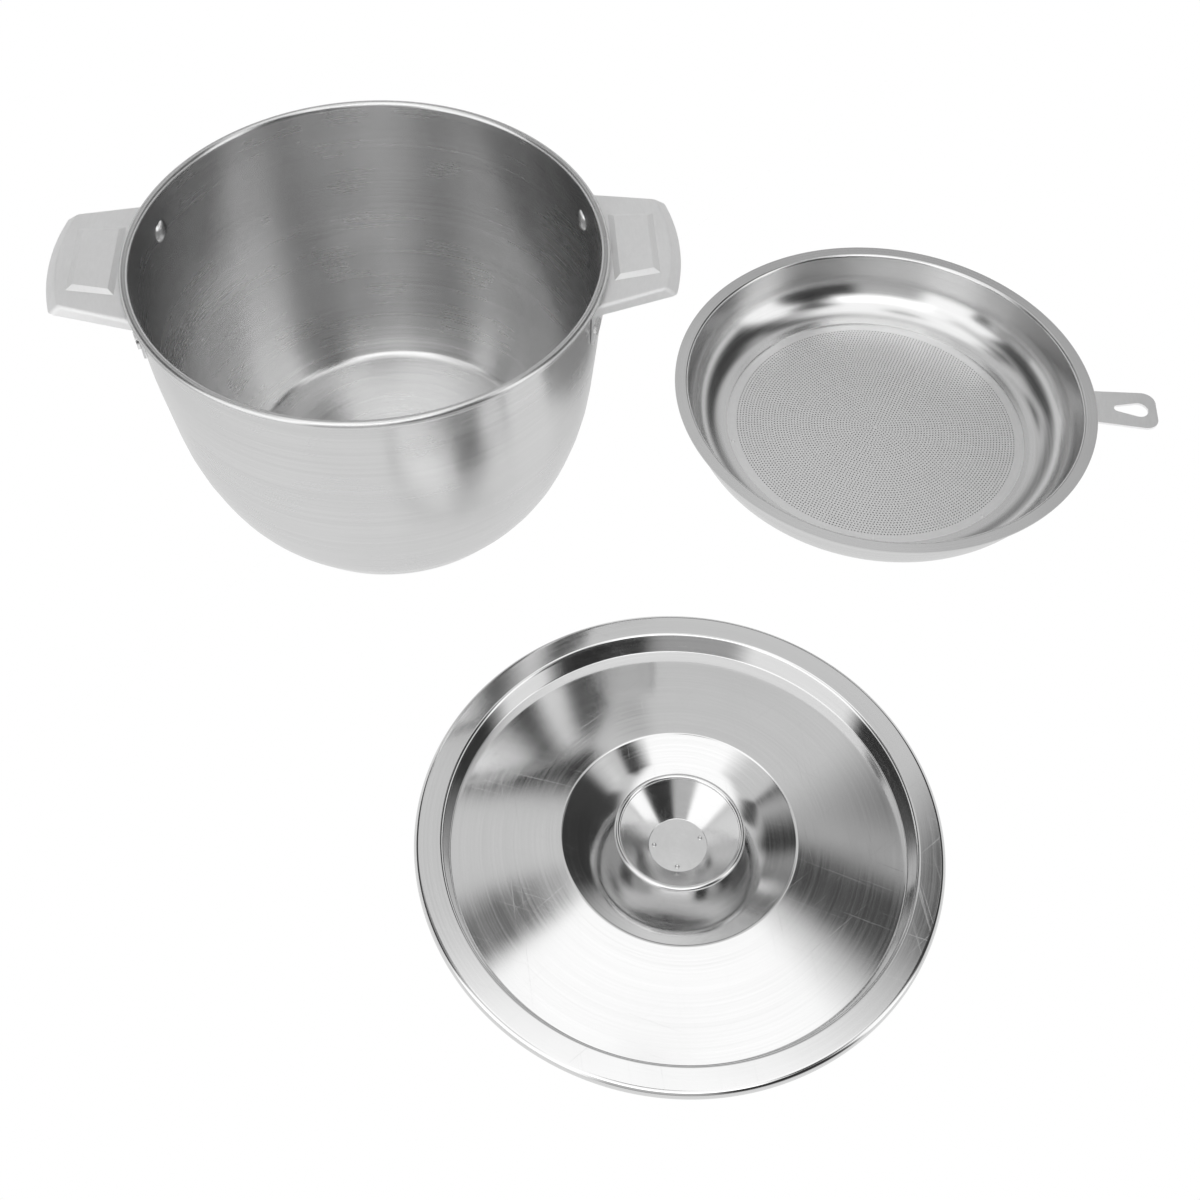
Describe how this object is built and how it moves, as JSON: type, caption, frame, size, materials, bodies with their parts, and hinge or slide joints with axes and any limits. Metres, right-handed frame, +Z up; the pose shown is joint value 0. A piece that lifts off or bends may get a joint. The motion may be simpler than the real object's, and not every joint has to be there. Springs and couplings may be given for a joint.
{
  "type": "straining pot with lid",
  "caption": "Stainless straining pot with side handles, a loose strainer pan with a fine filter disc and hanging tab, and a loose knobbed lid, laid out side by side.",
  "frame": {"origin": "centre of the pot's flat base, on the table", "axes": "+Z up along the pot's axis, +X along the handles towards the strainer, -Y towards the lid and the viewer"},
  "size_m": [0.512, 0.4433, 0.1352],
  "materials": {
    "pot_steel": "satin, brushed round the axis",
    "handle_steel": "matte",
    "rivet_steel": "satin",
    "strainer_steel": "satin",
    "filter_steel": "matte",
    "lid_steel": "polished"
  },
  "bodies": {
    "pot": {"pot_shell": "pot_steel", "left_handle": "handle_steel", "right_handle": "handle_steel", "left_front_rivet": "rivet_steel", "left_rear_rivet": "rivet_steel", "right_front_rivet": "rivet_steel", "right_rear_rivet": "rivet_steel"},
    "strainer": {"strainer_pan": "strainer_steel", "filter_disc": "filter_steel", "strainer_tab": "strainer_steel"},
    "lid": {"lid_panel": "lid_steel", "lid_knob": "lid_steel"}
  },
  "joints": [
    {"name": "strainer_lift", "type": "slide", "parent": "pot", "child": "strainer", "axis": [0, 0, 1], "range_m": [0, 0.15]},
    {"name": "lid_lift", "type": "slide", "parent": "pot", "child": "lid", "axis": [0, 0, 1], "range_m": [0, 0.15]}
  ]
}
